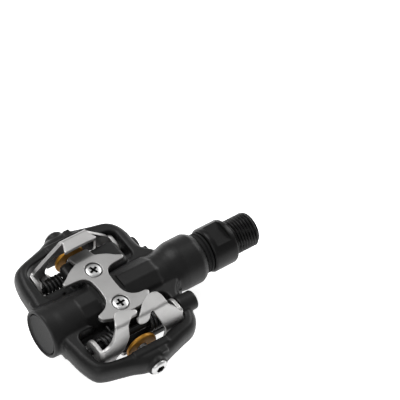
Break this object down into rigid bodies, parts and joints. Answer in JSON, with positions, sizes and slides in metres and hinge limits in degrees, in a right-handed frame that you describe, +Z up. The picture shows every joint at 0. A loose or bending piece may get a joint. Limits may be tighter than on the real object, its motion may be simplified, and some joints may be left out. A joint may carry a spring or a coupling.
{
  "type": "clipless pedal",
  "caption": "Double-sided clipless bicycle pedal with a cage: sprung cleat claws, cleat plates and tension screws on a sealed spindle.",
  "frame": {"origin": "on the spindle's axis, at the middle of the overall length from the end cap's rim to the end of the thread", "axes": "+X along the spindle towards the crank, +Y forward, +Z up; half a turn about X maps the upper face on the lower one"},
  "size_m": [0.0984, 0.0738, 0.034],
  "materials": {
    "black_casting": "satin black paint over cast metal",
    "black_cap": "satin black moulded plastic",
    "black_steel": "black oxide, turned",
    "ground_steel": "ground",
    "ball_chrome": "polished",
    "satin_plate": "tumbled satin",
    "satin_claw": "satin nickel plate",
    "bright_screw": "zinc plated",
    "spring_steel": "black oiled",
    "yellow_brass": "yellow passivated",
    "seal_rubber": "matte",
    "bush_plastic": "moulded"
  },
  "bodies": {
    "pedal": {"pedal_body": "black_casting", "end_cap": "black_cap", "spindle_bushing": "bush_plastic", "spindle_seal": "seal_rubber", "bearing_outer_ring": "ground_steel", "upper_cleat_plate": "satin_plate", "lower_cleat_plate": "satin_plate", "upper_plate_screw_front": "bright_screw", "upper_plate_screw_rear": "bright_screw", "lower_plate_screw_front": "bright_screw", "lower_plate_screw_rear": "bright_screw", "rear_claw_pin": "black_steel", "front_claw_pin": "black_steel", "rear_spring_outboard": "spring_steel", "rear_spring_inboard": "spring_steel", "front_spring_outboard": "spring_steel", "front_spring_inboard": "spring_steel"},
    "spindle": {"spindle": "black_steel", "bearing_inner_ring": "ground_steel", "spindle_washer": "ground_steel", "spindle_lock_nut": "ground_steel"},
    "bearing_balls": {"bearing_ball_1": "ball_chrome", "bearing_ball_2": "ball_chrome", "bearing_ball_3": "ball_chrome", "bearing_ball_4": "ball_chrome", "bearing_ball_5": "ball_chrome", "bearing_ball_6": "ball_chrome", "bearing_ball_7": "ball_chrome"},
    "rear_claw": {"rear_claw": "satin_claw"},
    "front_claw": {"front_claw": "satin_claw"},
    "rear_tension_screw": {"rear_tension_screw": "bright_screw"},
    "front_tension_screw": {"front_tension_screw": "bright_screw"},
    "rear_tension_nut": {"rear_tension_nut": "yellow_brass"},
    "front_tension_nut": {"front_tension_nut": "yellow_brass"}
  },
  "joints": [
    {"name": "spindle_spin", "type": "hinge", "parent": "pedal", "child": "spindle", "pos_m": [0, 0, 0], "axis": [1, 0, 0], "continuous": true},
    {"name": "bearing_ball_roll", "type": "hinge", "parent": "pedal", "child": "bearing_balls", "pos_m": [0, 0, 0], "axis": [1, 0, 0], "continuous": true},
    {"name": "rear_claw_open", "type": "hinge", "parent": "pedal", "child": "rear_claw", "pos_m": [-0.01975, -0.0185, 0.0036], "axis": [1, 0, 0], "range_deg": [0, 8], "stiffness_Nm_per_rad": 6, "springref_deg": -2.86},
    {"name": "front_claw_open", "type": "hinge", "parent": "pedal", "child": "front_claw", "pos_m": [-0.01975, 0.0185, -0.0036], "axis": [1, 0, 0], "range_deg": [0, 8], "stiffness_Nm_per_rad": 6, "springref_deg": -2.86},
    {"name": "rear_nut_travel", "type": "slide", "parent": "pedal", "child": "rear_tension_nut", "axis": [0, -1, 0], "range_m": [0, 0.0024]},
    {"name": "rear_screw_turn", "type": "hinge", "parent": "pedal", "child": "rear_tension_screw", "pos_m": [-0.01975, -0.03, 0], "axis": [0, 1, 0], "range_deg": [0, 1081]},
    {"name": "front_nut_travel", "type": "slide", "parent": "pedal", "child": "front_tension_nut", "axis": [0, 1, 0], "range_m": [0, 0.0024]},
    {"name": "front_screw_turn", "type": "hinge", "parent": "pedal", "child": "front_tension_screw", "pos_m": [-0.01975, 0.03, 0], "axis": [0, -1, 0], "range_deg": [0, 1081]}
  ],
  "couplings": [
    {"joint": "bearing_ball_roll", "follows": "spindle_spin", "ratio": 0.3894},
    {"joint": "rear_screw_turn", "follows": "rear_nut_travel", "rad_per_m": 7854},
    {"joint": "front_screw_turn", "follows": "front_nut_travel", "rad_per_m": 7854}
  ]
}
